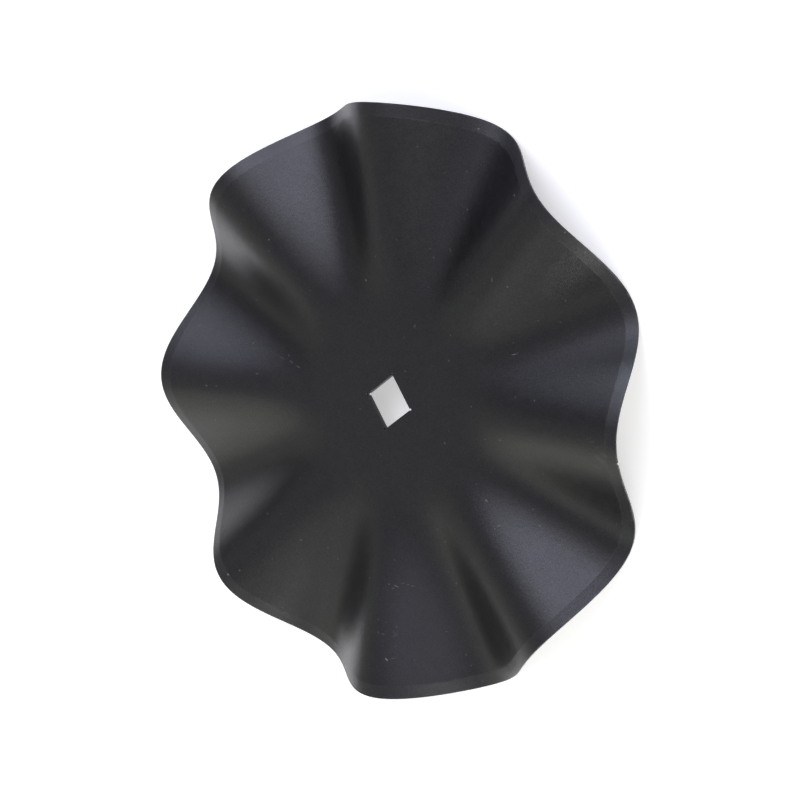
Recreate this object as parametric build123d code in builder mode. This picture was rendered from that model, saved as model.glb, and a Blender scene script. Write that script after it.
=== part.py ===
from build123d import *
import os
from math import cos, radians, sin, tau

# Wavy disc blade: one round sheet of hardened steel, pressed and bevelled. The middle
# is flat and has a square axle hole. Round it the sheet bends into radial waves, which
# grow in height along straight slopes out to the rim. A bevel ground on each face
# follows the waves all round, shallow on the upper face and steeper on the lower one,
# and the two leave a thin land at the cutting edge.
# The origin is at the middle of the hole, half way through the sheet. +Z points to the
# upper face, and X and Y run square to the sides of the hole.

# Driving dimensions, in millimetres and degrees

# Sheet
blade_diameter = 460.0
sheet_thickness = 4.0

# Waves: the height is from crest to trough at the rim, half way through the sheet
wave_count = 8
wave_height = 45.3
# Radius at which the straight slopes would meet the flat middle
wave_root_radius = 80.5
# Reach of the rounded bend to either side of that radius
wave_root_bend = 17.0
# Turn from +X to the first crest
crest_angle = 9.7

# Cutting edge: the upper bevel drops by this much to the land, and the lower bevel
# takes up the rest of the sheet
bevel_width = 10.0
upper_bevel_drop = 1.1
edge_land = 0.8

# Square axle hole with a small round relief in each corner
hole_side = 31.0
corner_relief_radius = 1.2

# Small wedge-shaped nick in the cutting edge, as wide as given at the rim
nick_angle = 320.5
nick_depth = 2.6
nick_width = 2.4

# Fineness of the rings that the faces are lofted through
points_per_wave = 8
rings_across_bend = 4
rings_along_slope = 12

# Sizes worked out from them

rim_radius = blade_diameter / 2
half_sheet = sheet_thickness / 2
flat_radius = wave_root_radius - wave_root_bend
slope_start_radius = wave_root_radius + wave_root_bend
bevel_start_radius = rim_radius - bevel_width
wave_slope = wave_height / 2 / (rim_radius - wave_root_radius)
# Heights of the two sides of the edge land, from the middle of the sheet
land_top = half_sheet - upper_bevel_drop
land_foot = land_top - edge_land


def wave_growth(radius):
    """Height of a crest at a radius, and its slope: flat, a parabolic bend, straight."""
    past_flat = radius - flat_radius
    if past_flat <= 0:
        return 0.0, 0.0
    if radius < slope_start_radius:
        bend_length = 2 * wave_root_bend
        return wave_slope * past_flat**2 / (2 * bend_length), wave_slope * past_flat / bend_length
    return wave_slope * (radius - wave_root_radius), wave_slope


def sheet_point(radius, angle, lift):
    """Point of the middle of the sheet, lifted square to the sheet towards the upper face."""
    crest_height, crest_slope = wave_growth(radius)
    phase = wave_count * (angle - radians(crest_angle))
    outward = Vector(cos(angle), sin(angle), 0)
    around = Vector(-sin(angle), cos(angle), 0)
    rise_outward = crest_slope * cos(phase)
    rise_around = -wave_count * crest_height / radius * sin(phase)
    square_to_sheet = (Vector(0, 0, 1) - outward * rise_outward - around * rise_around).normalized()
    return outward * radius + Vector(0, 0, crest_height * cos(phase)) + square_to_sheet * lift


def wave_ring(radius, lift):
    """Closed curve that follows the waves at one radius, in one edge from crest to crest."""
    count = wave_count * points_per_wave
    first_crest = radians(crest_angle)
    points = [sheet_point(radius, first_crest + tau * i / count, lift) for i in range(count)]
    turns = [i / count for i in range(count + 1)]
    whole_ring = Edge.make_spline(points, periodic=True, parameters=turns)
    return Wire([whole_ring.trim(i / wave_count, (i + 1) / wave_count) for i in range(wave_count)])


def sheet_band(inner_radius, outer_radius, lift, ring_count, straight):
    """Part of the upper or lower face between two radii, straight or smooth across its rings."""
    step = (outer_radius - inner_radius) / (ring_count - 1)
    rings = [wave_ring(inner_radius + step * i, lift) for i in range(ring_count)]
    return Shell.make_loft(rings, ruled=straight).faces()


def wavy_face(lift):
    """The upper or lower face, from the flat middle over the bend and up to the bevel."""
    bend = sheet_band(flat_radius, slope_start_radius, lift, rings_across_bend, False)
    slopes = sheet_band(slope_start_radius, bevel_start_radius, lift, rings_along_slope, True)
    return [Face(wave_ring(flat_radius, lift))] + bend + slopes


def cutting_edge():
    """The upper bevel, the land and the lower bevel, straight from ring to ring."""
    upper_bevel_start = wave_ring(bevel_start_radius, half_sheet)
    land_upper_side = wave_ring(rim_radius, land_top)
    land_lower_side = wave_ring(rim_radius, land_foot)
    lower_bevel_start = wave_ring(bevel_start_radius, -half_sheet)
    rings = [upper_bevel_start, land_upper_side, land_lower_side, lower_bevel_start]
    return Shell.make_loft(rings, ruled=True).faces()


# The pressed and bevelled sheet, before it is punched
upper_face = wavy_face(half_sheet)
lower_face = wavy_face(-half_sheet)
pressed_sheet = Solid(Shell(upper_face + cutting_edge() + lower_face))

# The blade: the pressed sheet with the axle hole punched through its flat middle, and
# the nick cut through the edge
with BuildPart() as disc_blade:
    add(pressed_sheet)
    with BuildSketch():
        Rectangle(hole_side, hole_side)
        with GridLocations(hole_side, hole_side, 2, 2):
            Circle(corner_relief_radius)
    extrude(amount=sheet_thickness, both=True, mode=Mode.SUBTRACT)
    with BuildSketch(Plane.XY.rotated((0, 0, nick_angle))):
        with BuildLine():
            tip = (rim_radius - nick_depth, 0)
            beyond_rim = rim_radius + nick_depth
            Polyline(tip, (beyond_rim, -nick_width), (beyond_rim, nick_width), close=True)
        make_face()
    extrude(amount=wave_height, both=True, mode=Mode.SUBTRACT)

disc_blade.part.label = "disc_blade"
os.makedirs("parts", exist_ok=True)
export_step(disc_blade.part, "parts/disc_blade.step")
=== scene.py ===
from math import radians

import bpy
import numpy as np
from mathutils import Matrix, Vector


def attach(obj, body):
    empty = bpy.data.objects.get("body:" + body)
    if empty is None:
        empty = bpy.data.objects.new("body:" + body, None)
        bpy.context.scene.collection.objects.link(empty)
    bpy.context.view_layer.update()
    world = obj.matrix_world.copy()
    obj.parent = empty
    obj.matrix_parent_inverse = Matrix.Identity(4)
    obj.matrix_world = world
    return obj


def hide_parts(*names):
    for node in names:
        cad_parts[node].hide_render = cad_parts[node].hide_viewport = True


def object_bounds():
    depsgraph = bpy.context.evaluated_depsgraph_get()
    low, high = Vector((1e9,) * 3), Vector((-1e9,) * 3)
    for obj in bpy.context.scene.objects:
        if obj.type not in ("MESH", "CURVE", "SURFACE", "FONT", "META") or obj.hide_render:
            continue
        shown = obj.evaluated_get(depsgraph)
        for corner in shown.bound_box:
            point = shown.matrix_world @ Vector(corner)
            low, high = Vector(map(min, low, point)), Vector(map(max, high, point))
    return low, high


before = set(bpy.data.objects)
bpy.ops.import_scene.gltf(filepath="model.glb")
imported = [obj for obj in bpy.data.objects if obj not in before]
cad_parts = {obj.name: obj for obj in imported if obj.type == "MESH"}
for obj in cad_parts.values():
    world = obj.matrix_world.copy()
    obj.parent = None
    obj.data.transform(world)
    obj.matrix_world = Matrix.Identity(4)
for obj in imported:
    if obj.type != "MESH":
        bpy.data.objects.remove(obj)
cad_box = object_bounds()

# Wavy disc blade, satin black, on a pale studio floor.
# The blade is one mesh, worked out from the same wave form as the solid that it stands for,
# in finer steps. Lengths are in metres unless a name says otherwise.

# Sizes of the blade

RIM_RADIUS = 0.230
HALF_SHEET = 0.002
WAVE_COUNT = 8
WAVE_HEIGHT = 0.0453
WAVE_ROOT = 0.0805
WAVE_BEND = 0.017
CREST_ANGLE = radians(9.7)
BEVEL_START = 0.220
LAND_TOP = 0.0009
LAND_FOOT = 0.0001
HOLE_SIDE = 0.031
RELIEF_RADIUS = 0.0012
NICK_ANGLE = radians(320.5)
NICK_DEPTH = 0.0026
NICK_WIDTH = 0.0024

FLAT_RADIUS = WAVE_ROOT - WAVE_BEND
SLOPE_START = WAVE_ROOT + WAVE_BEND
WAVE_SLOPE = WAVE_HEIGHT / 2 / (RIM_RADIUS - WAVE_ROOT)

# Columns of the mesh, half a degree apart, and two more beside the nick
COLUMNS = 720
# Columns to each side of a corner of the hole that go round its relief
RELIEF_COLUMNS = 16
# Allowance for rounding when columns are told apart, in radians
ANGLE_SLACK = 1e-9
# Radius of the rounding along the hole's edges, and how far it cuts in half way round
EDGE_ROUND = 0.0003
EDGE_CUT = 0.3 * EDGE_ROUND
# From this radius on, the rings round the square hole are circles
ROUND_RADIUS = 0.030
# Rings over the flat middle, the bend and the slopes
FLAT_RINGS = 7
BEND_RINGS = 18
SLOPE_RINGS = 24
# The last two rings of a slope lie this far from the bevel and keep its line crisp
BEVEL_GAPS = (0.0008, 0.0003)
# Places of the rings from the hole to the first circle, across a bevel and across the land,
# as shares of the way
HOLE_SHARES = (0.08, 0.35, 0.7)
BEVEL_SHARES = (0.03, 0.08, 0.25, 0.45, 0.65, 0.85, 0.975, 1.0)
LAND_SHARES = (0.15, 0.5, 0.85, 1.0)


def sheet_points(radius, angle, lift):
    """Points of the middle of the sheet, lifted square to the sheet towards the upper face."""
    past_flat = np.maximum(radius - FLAT_RADIUS, 0.0)
    bend_length = 2 * WAVE_BEND
    in_bend = radius < SLOPE_START
    height = np.where(in_bend, past_flat**2 / (2 * bend_length), radius - WAVE_ROOT) * WAVE_SLOPE
    slope = np.where(in_bend, past_flat / bend_length, 1.0) * WAVE_SLOPE
    phase = WAVE_COUNT * (angle - CREST_ANGLE)
    cos_a, sin_a = np.cos(angle), np.sin(angle)
    outward = slope * np.cos(phase)
    around = -WAVE_COUNT * height / radius * np.sin(phase)
    normal_x = -outward * cos_a + around * sin_a
    normal_y = -outward * sin_a - around * cos_a
    normal = np.stack([normal_x, normal_y, np.ones_like(phase)], -1)
    normal /= np.linalg.norm(normal, axis=-1, keepdims=True)
    middle = np.stack([radius * cos_a, radius * sin_a, height * np.cos(phase)], -1)
    return middle + normal * lift


def column_angles():
    """Angle of each column, and how far each lies in the nick, from 0 to 1 at its tip."""
    angles = np.arange(COLUMNS) * 2 * np.pi / COLUMNS
    side = NICK_WIDTH / 2 / RIM_RADIUS
    angles = np.sort(np.append(angles, [NICK_ANGLE - side, NICK_ANGLE + side]))
    in_nick = (np.abs(angles - NICK_ANGLE) < side / 2).astype(float)
    return angles, in_nick


def hole_outline(angles):
    """Point of the hole's edge for each column: a square with a round relief in each corner."""
    half = HOLE_SIDE / 2
    quarter = np.round(angles / (np.pi / 2) - 0.5)
    corner_angle = (quarter + 0.5) * np.pi / 2
    from_corner = angles - corner_angle
    reach = RELIEF_COLUMNS * 2 * np.pi / COLUMNS
    # On the relief, the outline goes round three quarters of a circle
    turn = corner_angle + np.clip(from_corner / reach, -1, 1) * radians(135)
    corner = half * np.stack([np.sign(np.cos(corner_angle)), np.sign(np.sin(corner_angle))], -1)
    round_part = corner + RELIEF_RADIUS * np.stack([np.cos(turn), np.sin(turn)], -1)
    # On the sides, it goes straight from one relief to the next
    along = (np.abs(from_corner) - reach) / (np.pi / 4 - reach)
    offset = (half - RELIEF_RADIUS) * (1 - along)
    side_angle = corner_angle + np.sign(from_corner) * np.pi / 4
    across = -np.sign(from_corner) * offset
    straight_x = half * np.cos(side_angle) - across * np.sin(side_angle)
    straight_y = half * np.sin(side_angle) + across * np.cos(side_angle)
    straight_part = np.stack([straight_x, straight_y], -1)
    on_relief = (np.abs(from_corner) <= reach + ANGLE_SLACK)[:, None]
    return np.where(on_relief, round_part, straight_part)


def face_radii():
    """Radii of the rings on one face, from the flat middle to the start of the bevel."""
    flat = np.linspace(ROUND_RADIUS, FLAT_RADIUS, FLAT_RINGS)
    bend = np.linspace(FLAT_RADIUS, SLOPE_START, BEND_RINGS)
    slope = np.linspace(SLOPE_START, BEVEL_START - BEVEL_GAPS[0], SLOPE_RINGS)
    return np.concatenate([flat, bend[1:], slope[1:], [BEVEL_START - BEVEL_GAPS[1]]])


def blade_rings(angles, in_nick):
    """The rings of the blade's mesh, once round its section from the hole over both faces."""
    hole = hole_outline(angles)
    hole_length = np.linalg.norm(hole, axis=1, keepdims=True)

    def hole_ring(share, clear, height):
        """Ring in the flat middle, from clear of the hole's edge at 0 to the first circle at 1."""
        out = ROUND_RADIUS * np.stack([np.cos(angles), np.sin(angles)], -1)
        start = hole * (1 + clear / hole_length)
        flat = start * (1 - share) + out * share
        return np.column_stack([flat, np.full(len(angles), height)])

    def face_ring(radius, lift):
        """Ring that follows the waves at one radius."""
        return sheet_points(np.full_like(angles, radius), angles, lift)

    def bevel_ring(share, side, foot_lift):
        """Ring on the bevel of one side, from its start at 0 to the land at 1."""
        share = share * (1 - in_nick * NICK_DEPTH / (RIM_RADIUS - BEVEL_START))
        start = face_ring(BEVEL_START, side * HALF_SHEET)
        return start + (face_ring(RIM_RADIUS, foot_lift) - start) * share[:, None]

    def hole_edge(side):
        """Rings over one rounded edge of the hole, from its wall to the face."""
        wall = hole_ring(0, 0, side * (HALF_SHEET - EDGE_ROUND))
        middle = hole_ring(0, EDGE_CUT, side * (HALF_SHEET - EDGE_CUT))
        return [wall, middle, hole_ring(0, EDGE_ROUND, side * HALF_SHEET)]

    def face(side, foot_lift):
        """Rings from the hole's wall over one face and its bevel to the land."""
        rings = hole_edge(side)
        rings += [hole_ring(share, EDGE_ROUND, side * HALF_SHEET) for share in HOLE_SHARES]
        rings += [face_ring(radius, side * HALF_SHEET) for radius in face_radii()]
        return rings + [bevel_ring(share, side, foot_lift) for share in BEVEL_SHARES]

    upper, lower = face(1, LAND_TOP), face(-1, LAND_FOOT)
    land_top, land_foot = upper[-1], lower.pop()
    land = [land_top + (land_foot - land_top) * share for share in LAND_SHARES]
    return upper + land + lower[::-1]


def build_blade():
    """The blade as one closed mesh, with each ring joined to the next and the last to the first."""
    angles, in_nick = column_angles()
    rings = blade_rings(angles, in_nick)
    count, columns = len(rings), len(angles)
    ring = np.arange(count)[:, None] * columns
    next_ring = np.roll(np.arange(count), -1)[:, None] * columns
    column = np.arange(columns)[None, :]
    next_column = np.roll(np.arange(columns), -1)[None, :]
    corners = [ring + column, next_ring + column, next_ring + next_column, ring + next_column]
    quads = np.stack(corners, -1).reshape(-1, 4)
    mesh = bpy.data.meshes.new("wavy_blade")
    mesh.from_pydata(np.concatenate(rings).tolist(), [], quads.tolist())
    mesh.validate()
    mesh.polygons.foreach_set("use_smooth", [True] * len(mesh.polygons))
    mesh.update()
    blade = bpy.data.objects.new("wavy_blade", mesh)
    bpy.context.scene.collection.objects.link(blade)
    return blade


# Materials


class Nodes:
    """Short ways to add nodes to one material or world."""

    def __init__(self, owner):
        owner.use_nodes = True
        self.tree = owner.node_tree
        self.tree.nodes.clear()

    def add(self, kind, inputs=None, **settings):
        node = self.tree.nodes.new("ShaderNode" + kind)
        for name, value in settings.items():
            setattr(node, name, value)
        for name, value in (inputs or {}).items():
            socket = node.inputs[name]
            if isinstance(value, bpy.types.NodeSocket):
                self.tree.links.new(value, socket)
            else:
                socket.default_value = value
        return node

    def math(self, operation, *values, clamp=False):
        inputs = dict(enumerate(values))
        return self.add("Math", inputs, operation=operation, use_clamp=clamp).outputs[0]

    def times(self, first, second, clamp=False):
        return self.math("MULTIPLY", first, second, clamp=clamp)

    def ramp(self, value, start, end):
        """From 0 at start to 1 at end, smooth, and flat outside."""
        rising = start < end
        inputs = {
            "Value": value,
            "From Min": min(start, end),
            "From Max": max(start, end),
            "To Min": 0.0 if rising else 1.0,
            "To Max": 1.0 if rising else 0.0,
        }
        return self.add("MapRange", inputs, interpolation_type="SMOOTHSTEP").outputs[0]

    def noise(self, place, scale, detail, roughness):
        inputs = {"Vector": place, "Scale": scale, "Detail": detail, "Roughness": roughness}
        return self.add("TexNoise", inputs).outputs[0]

    def mix(self, share, first, second):
        """From the first colour at share 0 to the second at share 1."""
        node = self.add("Mix", {0: share}, data_type="RGBA")
        for name, value in (("A", first), ("B", second)):
            socket = next(i for i in node.inputs if i.name == name and i.type == "RGBA")
            if isinstance(value, bpy.types.NodeSocket):
                self.tree.links.new(value, socket)
            else:
                socket.default_value = (*value, 1.0)
        return next(o for o in node.outputs if o.type == "RGBA")


# Colours of the paint and of what lies on it
PAINT_DARK = (0.0016, 0.0016, 0.0020)
PAINT_LIGHT = (0.0050, 0.0050, 0.0060)
DUSTY_PAINT = (0.0125, 0.0118, 0.0155)
GROUND_BEVEL = (0.011, 0.011, 0.0125)
# Pale line at the start of each bevel: a painted highlight of the edge, partly wear
BEVEL_HIGHLIGHT_AND_WEAR = (0.10, 0.10, 0.105)
# Paler rim: worn paint, and also a painted highlight of the rounded outer edge
RIM_WEAR_AND_HIGHLIGHT = (0.14, 0.138, 0.135)
DUST_SPECK = (0.20, 0.20, 0.20)
BARE_MARK = (0.26, 0.26, 0.26)
# Share of each of these where it is fullest
BEVEL_HIGHLIGHT_AND_WEAR_SHARE = 0.09
RIM_WEAR_AND_HIGHLIGHT_SHARE = 0.35
DUST_SPECK_SHARE = 0.28
BARE_MARK_SHARE = 0.70
# Roughness and shine of the paint where nothing adds to them, and the tint of the shine
ROUGHNESS = 0.26
SHINE = 0.58
SHINE_TINT = (0.96, 0.965, 1.0, 1.0)
# Height of the paint's grain, in metres
GRAIN_HEIGHT = 0.00011

# Scales of the paint's patterns, per millimetre
CLOUD_SCALE = 0.030
MOTTLE_SCALE = 0.16
GRAIN_SCALE = 0.85
SPECK_SCALE = 0.07
# Scale of the grinding lines, per millimetre across the bevel and per radian along it
GRINDING_ACROSS = 1.6
GRINDING_ALONG = 16.0
# Gain on the strengths of the scratches and chips
MARK_GAIN = 2.0
# Half height of a spot in millimetres, so large that a spot is as strong at any height
SPOT_REACH = 1000.0
MM_PER_M = 1000.0

# Scratches and chips on the upper face, as (x, y, half length, half width, turn, strength)
# in millimetres and degrees
MARKS = (
    (-75.0, -119.7, 1.0, 0.6, -33.0, 0.34),
    (-70.7, -123.8, 3.0, 0.5, -52.0, 0.32),
    (-62.5, -127.4, 1.1, 0.5, -27.0, 0.22),
    (-60.0, -130.1, 1.5, 0.5, -40.0, 0.26),
    (-65.3, -124.5, 2.2, 0.5, -36.0, 0.17),
    (-73.5, -124.1, 2.0, 0.5, -14.0, 0.19),
    (-93.6, -100.5, 1.8, 0.5, -24.0, 0.19),
    (-92.0, -106.2, 2.8, 0.5, -22.0, 0.17),
    (-84.4, -103.4, 2.9, 0.5, -33.0, 0.14),
    (-61.7, -105.8, 2.1, 0.5, -55.0, 0.15),
    (-96.7, -138.9, 1.7, 0.5, -75.0, 0.15),
    (-101.4, -147.8, 1.7, 0.5, -85.0, 0.24),
    (-98.0, -150.9, 2.1, 0.5, -45.0, 0.26),
    (-89.6, -153.6, 2.0, 0.5, -92.0, 0.19),
    (-105.0, -169.2, 1.9, 0.8, -70.0, 0.70),
    (-100.3, -171.0, 3.9, 0.5, -22.0, 0.14),
    (-217.0, -38.6, 2.2, 1.1, -68.0, 0.55),
    (-205.3, -41.1, 1.2, 0.8, -30.0, 0.35),
    (-84.2, 91.4, 5.3, 0.5, -53.0, 0.10),
    (-77.6, 83.1, 5.3, 0.5, -50.0, 0.16),
    (-71.4, 76.4, 3.0, 0.8, -61.0, 0.20),
    (-67.1, 69.6, 3.6, 0.6, -57.0, 0.30),
    (-103.9, 84.9, 1.4, 0.8, -30.0, 0.35),
    (-152.2, 102.0, 1.1, 0.8, -30.0, 0.35),
    (122.4, -28.4, 2.7, 0.5, -20.0, 0.62),
    (124.6, -29.4, 1.0, 0.5, -75.0, 0.35),
    (129.2, -69.6, 1.1, 0.8, -28.0, 0.35),
    (67.8, -69.7, 1.4, 0.8, -28.0, 0.30),
    (81.5, -77.3, 1.4, 0.8, -50.0, 0.35),
    (31.3, -53.1, 1.3, 0.8, -68.0, 0.35),
    (166.4, -119.3, 3.4, 0.7, -10.0, 0.08),
    (167.1, -122.2, 3.2, 0.8, -20.0, 0.08),
    (165.2, -136.0, 7.0, 2.6, -60.0, 0.08),
    (171.5, -135.3, 5.0, 2.2, -60.0, 0.06),
    (157.0, -138.0, 4.5, 2.2, -49.0, 0.05),
    (42.2, -108.3, 1.8, 0.8, -59.0, 0.50),
    (44.3, -130.0, 1.4, 0.8, -31.0, 0.35),
    (180.6, 130.6, 1.1, 0.8, -37.0, 0.45),
    (114.1, 67.1, 2.2, 0.8, -85.0, 0.30),
    (149.1, 21.7, 2.4, 0.6, -134.0, 0.40),
    (202.0, 61.0, 2.0, 0.8, -73.0, 0.35),
    (57.1, 34.6, 2.6, 0.6, -124.0, 0.30),
    (-24.4, 162.7, 0.8, 0.8, 0.0, 0.50),
    (33.9, 89.2, 1.7, 0.8, -49.0, 0.45),
)
# Dusty lobes, where the paint is a little paler, given in the same way
DUST = (
    (-76.0, -163.0, 95.0, 48.0, 66.0, 1.0),
    (-168.0, -74.0, 80.0, 36.0, 24.0, 0.6),
    (-142.0, 128.0, 70.0, 30.0, 138.0, 0.8),
)
# Scuffed patches of short fine streaks, given in the same way
SCUFFS = (
    (-86.0, -138.0, 42.0, 17.0, 57.0, 1.0),
    (8.0, 74.0, 20.0, 9.0, -78.0, 0.6),
    (171.0, -130.0, 20.0, 7.0, -40.0, 0.8),
)


def spots(nodes, place, shapes, gain=1.0):
    """Soft ellipses at given places on the upper face, added up."""
    total = 0.0
    for x, y, half_length, half_width, turn, strength in shapes:
        inputs = {
            "Vector": place,
            "Location": (x, y, 0.0),
            "Rotation": (0.0, 0.0, radians(turn)),
            "Scale": (half_length, half_width, SPOT_REACH),
        }
        local = nodes.add("Mapping", inputs, vector_type="TEXTURE").outputs[0]
        spot = nodes.add("TexGradient", {"Vector": local}, gradient_type="SPHERICAL").outputs[1]
        total = nodes.math("MULTIPLY_ADD", spot, strength * gain, total)
    return total


def dust_specks(nodes, plan):
    """Small round specks, one at most in each cell of a coarse pattern."""
    inputs = {"Vector": plan, "Scale": SPECK_SCALE}
    cells = nodes.add("TexVoronoi", inputs, voronoi_dimensions="2D").outputs
    chance = nodes.add("SeparateColor", {0: cells["Color"]}).outputs
    # Radius of each cell's speck as a share of the cell, which is 0 in most cells
    size = nodes.times(nodes.ramp(chance[0], 0.62, 1.0), 0.05)
    return nodes.times(nodes.math("GREATER_THAN", size, cells["Distance"]), chance[1])


def grinding_lines(nodes, radius, angle, height):
    """Fine lines that run along the rim: a noise drawn out in the turning direction."""
    across = nodes.times(radius, GRINDING_ACROSS)
    along = nodes.times(angle, GRINDING_ALONG)
    place = nodes.add("CombineXYZ", {0: across, 1: along, 2: height}).outputs[0]
    return nodes.noise(place, 1.0, detail=2.0, roughness=0.6)


def bare_marks(nodes, place, plan, grain):
    """Scratches and chips, and scuffs made of streaks, all broken up finely."""
    # A noise turned and drawn out into streaks
    inputs = {
        "Vector": plan,
        "Rotation": (0.0, 0.0, radians(38.0)),
        "Scale": (0.22, 0.75, 1.0),
    }
    drawn_out = nodes.add("Mapping", inputs).outputs[0]
    streaks = nodes.ramp(nodes.noise(drawn_out, 1.0, detail=1.0, roughness=0.5), 0.66, 0.80)
    scuffs = nodes.times(nodes.ramp(spots(nodes, place, SCUFFS), 0.0, 0.7), streaks)
    scratches = nodes.times(spots(nodes, place, MARKS, MARK_GAIN), nodes.ramp(grain, 0.30, 0.60))
    return nodes.math("MULTIPLY_ADD", scuffs, 0.30, scratches)


def paint_material():
    """Satin black paint with a fine grain, soft mottling, dust, scuffs and a worn bevel, whose pale
    edge lines are partly painted highlights.
    """
    material = bpy.data.materials.new("black_paint")
    nodes = Nodes(material)

    # Places, in millimetres, and what faces up
    metres = nodes.add("TexCoord").outputs["Object"]
    place = nodes.add("VectorMath", {0: metres, "Scale": MM_PER_M}, operation="SCALE").outputs[0]
    parts = nodes.add("SeparateXYZ", {0: place}).outputs
    plan = nodes.add("CombineXYZ", {0: parts[0], 1: parts[1]}).outputs[0]
    radius = nodes.add("VectorMath", {0: plan}, operation="LENGTH").outputs["Value"]
    angle = nodes.math("ARCTAN2", parts[1], parts[0])
    normal = nodes.add("NewGeometry").outputs["Normal"]
    upward = nodes.ramp(nodes.add("SeparateXYZ", {0: normal}).outputs[2], 0.2, 0.4)

    # Slow clouds, soft mottling, a fine grain, specks of dust and dusty lobes
    clouds = nodes.noise(place, CLOUD_SCALE, detail=3.0, roughness=0.6)
    mottle = nodes.noise(place, MOTTLE_SCALE, detail=3.0, roughness=0.7)
    grain = nodes.noise(place, GRAIN_SCALE, detail=3.0, roughness=0.75)
    tone = nodes.math("ADD", nodes.times(mottle, 0.5), nodes.times(grain, 0.5))
    speck = dust_specks(nodes, plan)
    dust = nodes.times(nodes.ramp(spots(nodes, place, DUST), 0.0, 0.8), upward)

    # Both bevels: ground all over, with a patchy pale line at the start and a pale rim, each partly
    # wear and partly a painted highlight of the edge
    start = MM_PER_M * BEVEL_START
    rim = MM_PER_M * RIM_RADIUS
    bevel = nodes.ramp(radius, start - 0.6, start + 0.4)
    grinding = grinding_lines(nodes, radius, angle, parts[2])
    ground = nodes.math("MULTIPLY_ADD", grinding, 1.1, -0.1, clamp=True)
    patchy = nodes.ramp(mottle, 0.35, 0.65)
    inside_line = nodes.ramp(radius, start - 1.0, start - 0.1)
    outside_line = nodes.ramp(radius, start + 1.0, start + 0.1)
    # Pale line at the bevel's start: painted highlight of the edge, broken up in patches like wear
    bevel_highlight_and_wear = nodes.times(nodes.times(inside_line, outside_line), patchy)
    # Paler rim: partly worn paint, partly a painted highlight of the rounded outer edge
    near_rim = nodes.ramp(radius, rim - 1.6, rim - 0.2)
    rim_wear_and_highlight = nodes.times(nodes.times(near_rim, nodes.ramp(clouds, 0.40, 0.65)), patchy)

    marks = nodes.times(bare_marks(nodes, place, plan, grain), upward, clamp=True)

    colour = nodes.mix(nodes.ramp(tone, 0.30, 0.70), PAINT_DARK, PAINT_LIGHT)
    colour = nodes.mix(dust, colour, DUSTY_PAINT)
    colour = nodes.mix(nodes.times(bevel, ground), colour, GROUND_BEVEL)
    # Painted highlight, partly wear, along the start of the bevel
    colour = nodes.mix(nodes.times(bevel_highlight_and_wear, BEVEL_HIGHLIGHT_AND_WEAR_SHARE), colour, BEVEL_HIGHLIGHT_AND_WEAR)
    # Worn paint and painted highlight along the rim
    colour = nodes.mix(nodes.times(rim_wear_and_highlight, RIM_WEAR_AND_HIGHLIGHT_SHARE), colour, RIM_WEAR_AND_HIGHLIGHT)
    colour = nodes.mix(nodes.times(speck, DUST_SPECK_SHARE), colour, DUST_SPECK)
    colour = nodes.mix(nodes.times(marks, BARE_MARK_SHARE), colour, BARE_MARK)

    # Clouds, mottling, the bevels and the marks add to the roughness, and grain to the shine
    rough = nodes.math("MULTIPLY_ADD", clouds, 0.10, ROUGHNESS)
    rough = nodes.math("MULTIPLY_ADD", mottle, 0.08, rough)
    rough = nodes.math("MULTIPLY_ADD", bevel, 0.02, rough)
    rough = nodes.math("MULTIPLY_ADD", marks, 0.10, rough, clamp=True)
    shine = nodes.math("MULTIPLY_ADD", nodes.ramp(grain, 0.35, 0.65), 0.14, SHINE)

    height = nodes.math("MULTIPLY_ADD", grinding, nodes.times(bevel, 0.5), grain)
    height = nodes.math("MULTIPLY_ADD", mottle, 0.9, height)
    bump = nodes.add("Bump", {"Height": height, "Strength": 1.0, "Distance": GRAIN_HEIGHT})
    inputs = {
        "Base Color": colour,
        "Roughness": rough,
        "Specular IOR Level": shine,
        "Specular Tint": SHINE_TINT,
        "Normal": bump.outputs[0],
    }
    paint = nodes.add("BsdfPrincipled", inputs)
    nodes.add("OutputMaterial", {"Surface": paint.outputs[0]})
    return material


# Colour of the floor, and its own glow, where 1 is white
FLOOR_COLOUR = (0.8, 0.8, 0.8, 1.0)
FLOOR_GLOW = 0.45


def floor_material():
    """Pale floor that glows enough to show white, also in the paint's reflection of it."""
    material = bpy.data.materials.new("studio_floor")
    nodes = Nodes(material)
    matt = nodes.add("BsdfDiffuse", {"Color": FLOOR_COLOUR})
    glow = nodes.add("Emission", {"Color": (1.0, 1.0, 1.0, 1.0), "Strength": FLOOR_GLOW})
    both = nodes.add("AddShader", {0: matt.outputs[0], 1: glow.outputs[0]})
    path = nodes.add("LightPath")
    seen = nodes.math("MAXIMUM", path.outputs["Is Camera Ray"], path.outputs["Is Glossy Ray"])
    seen = nodes.math("MAXIMUM", seen, path.outputs["Is Transmission Ray"])
    shown = nodes.add("MixShader", {0: seen, 1: matt.outputs[0], 2: both.outputs[0]})
    nodes.add("OutputMaterial", {"Surface": shown.outputs[0]})
    return material


# Studio

# Reach of the floor to each side, and its gap below the blade
FLOOR_REACH = 8.0
FLOOR_GAP = 0.0003

# Brightness of the world at heights from 0 at the horizon to 1 overhead
SKY_LEVELS = ((0.0, 0.97), (0.10, 0.57), (0.22, 0.01), (0.45, 0.12), (0.75, 0.33), (1.0, 0.35))
SKY_TINT = (0.95, 0.93, 1.0)
SKY_STRENGTH = 1.15

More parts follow.
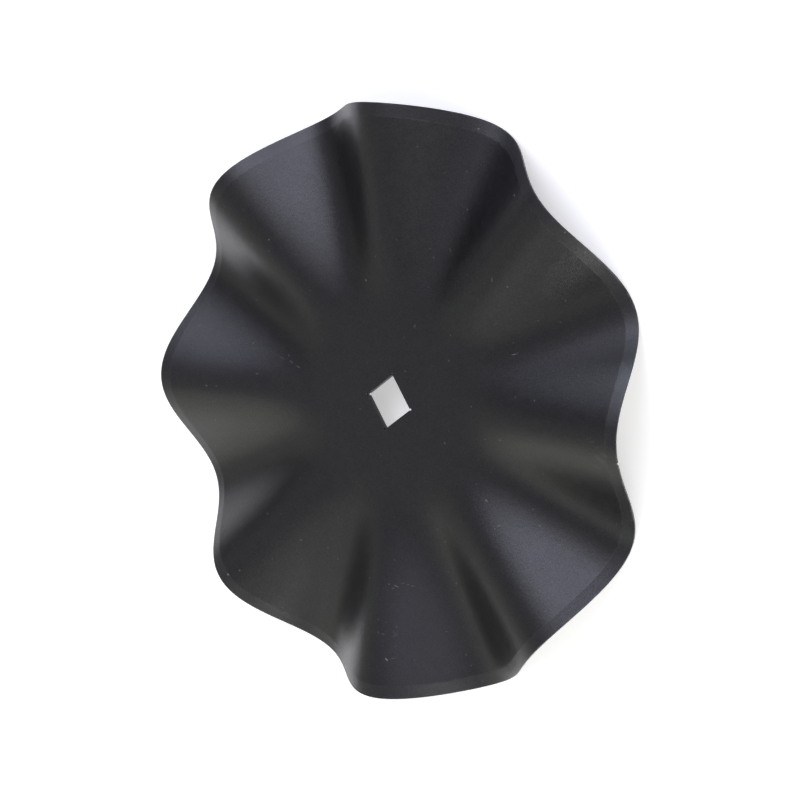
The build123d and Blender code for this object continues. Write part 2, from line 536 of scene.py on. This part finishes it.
# Soft boxes, all at one distance from the blade: the name, the angle down from +Z and the
# turn from +X in degrees, the width and height, the radiance and the tint
LAMP_DISTANCE = 2.0
SOFT_BOXES = (
    ("key", 43, 54, (2.0, 0.95), 3.27, (0.82, 0.825, 1.0)),
    ("top", 20, 60, (0.9, 0.9), 0.61, (0.97, 1.0, 0.98)),
    ("over_right", 18, 335, (0.6, 0.5), 0.80, (0.86, 0.84, 1.0)),
    ("front", 66, 285, (1.4, 0.7), 4.9, (1.0, 0.96, 0.96)),
    ("low_right", 81, 302, (1.3, 0.5), 11.6, (1.0, 1.0, 0.97)),
    ("low_front", 81, 255, (1.6, 0.5), 12.8, (0.98, 1.0, 0.87)),
    ("low_left", 81, 194, (1.5, 0.5), 0.80, (1.0, 1.0, 0.86)),
    ("rim", 82, 77, (0.9, 0.45), 19.0, (0.78, 0.84, 1.0)),
    ("left", 46, 216, (1.3, 0.8), 0.50, (0.94, 1.0, 0.8)),
    ("back_left", 64, 192, (1.2, 0.7), 0.74, (0.99, 1.0, 0.87)),
    ("back", 64, 158, (1.0, 0.7), 0.40, (0.95, 1.0, 0.8)),
    ("far", 40, 160, (1.2, 0.9), 0.09, (0.9, 0.96, 1.0)),
    ("far_right", 66, 92, (0.9, 0.7), 0.98, (0.86, 0.89, 1.0)),
)

# Axes of the camera, its place from the middle of the blade along them, in blade radii, and
# its lens and sensor in millimetres
CAMERA_RIGHT = (0.61867, -0.43642, -0.65329)
CAMERA_UP = (0.48155, 0.86766, -0.12360)
CAMERA_BACK = (0.62078, -0.23812, 0.74695)
CAMERA_PLACE = (0.0328, 0.00595, 8.01865)
LENS = 107.82
SENSOR = 36.0


def aim(direction, up):
    """Rotation that looks along -direction with up at the top of the view."""
    back = Vector(direction).normalized()
    right = Vector(up).cross(back).normalized()
    return Matrix((right, back.cross(right), back)).transposed().to_4x4()


def add_soft_box(name, polar, azimuth, size, radiance, tint):
    """Flat lamp that faces the blade, with a radiance that doesn't depend on its size."""
    lamp = bpy.data.lights.new(name, "AREA")
    lamp.shape = "RECTANGLE"
    lamp.size, lamp.size_y = size
    lamp.energy = radiance * np.pi * size[0] * size[1]
    lamp.color = tint
    box = bpy.data.objects.new(name, lamp)
    polar, azimuth = radians(polar), radians(azimuth)
    where = Vector((np.sin(polar) * np.cos(azimuth), np.sin(polar) * np.sin(azimuth), np.cos(polar)))
    box.matrix_world = Matrix.Translation(where * LAMP_DISTANCE) @ aim(where, (0, 0, 1))
    bpy.context.scene.collection.objects.link(box)


def add_floor():
    """Large flat floor just below the lowest point of the blade."""
    height = cad_box[0].z - FLOOR_GAP
    sides = ((-1, -1), (1, -1), (1, 1), (-1, 1))
    corners = [(x * FLOOR_REACH, y * FLOOR_REACH, height) for x, y in sides]
    mesh = bpy.data.meshes.new("studio_floor")
    mesh.from_pydata(corners, [], [(0, 1, 2, 3)])
    mesh.update()
    floor = bpy.data.objects.new("studio_floor", mesh)
    floor.data.materials.append(floor_material())
    bpy.context.scene.collection.objects.link(floor)


def add_world():
    """Soft grey light, brightest along the horizon and almost dark a little above it."""
    world = bpy.data.worlds.new("studio")
    nodes = Nodes(world)
    direction = nodes.add("TexCoord").outputs["Generated"]
    height = nodes.add("SeparateXYZ", {0: direction}).outputs[2]
    sky = nodes.add("ValToRGB", {0: height})
    stops = sky.color_ramp.elements
    for place, level in SKY_LEVELS[1:-1]:
        stops.new(place)
    for stop, (place, level) in zip(stops, SKY_LEVELS):
        stop.position = place
        stop.color = (*(level * channel for channel in SKY_TINT), 1.0)
    glow = nodes.add("Background", {"Color": sky.outputs[0], "Strength": SKY_STRENGTH})
    nodes.add("OutputWorld", {"Surface": glow.outputs[0]})
    bpy.context.scene.world = world


def add_camera():
    """The camera of the photograph."""
    right, up, back = Vector(CAMERA_RIGHT), Vector(CAMERA_UP), Vector(CAMERA_BACK)
    along_right, along_up, along_back = CAMERA_PLACE
    place = RIM_RADIUS * (right * along_right + up * along_up + back * along_back)
    data = bpy.data.cameras.new("camera")
    data.sensor_width = SENSOR
    data.lens = LENS
    camera = bpy.data.objects.new("camera", data)
    camera.matrix_world = Matrix.Translation(place) @ aim(back, up)
    bpy.context.scene.collection.objects.link(camera)
    bpy.context.scene.camera = camera


blade = build_blade()
blade.data.materials.append(paint_material())
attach(blade, "root")
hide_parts("disc_blade")

add_floor()
add_world()
add_camera()
for soft_box in SOFT_BOXES:
    add_soft_box(*soft_box)
bpy.context.scene.view_settings.view_transform = "Standard"
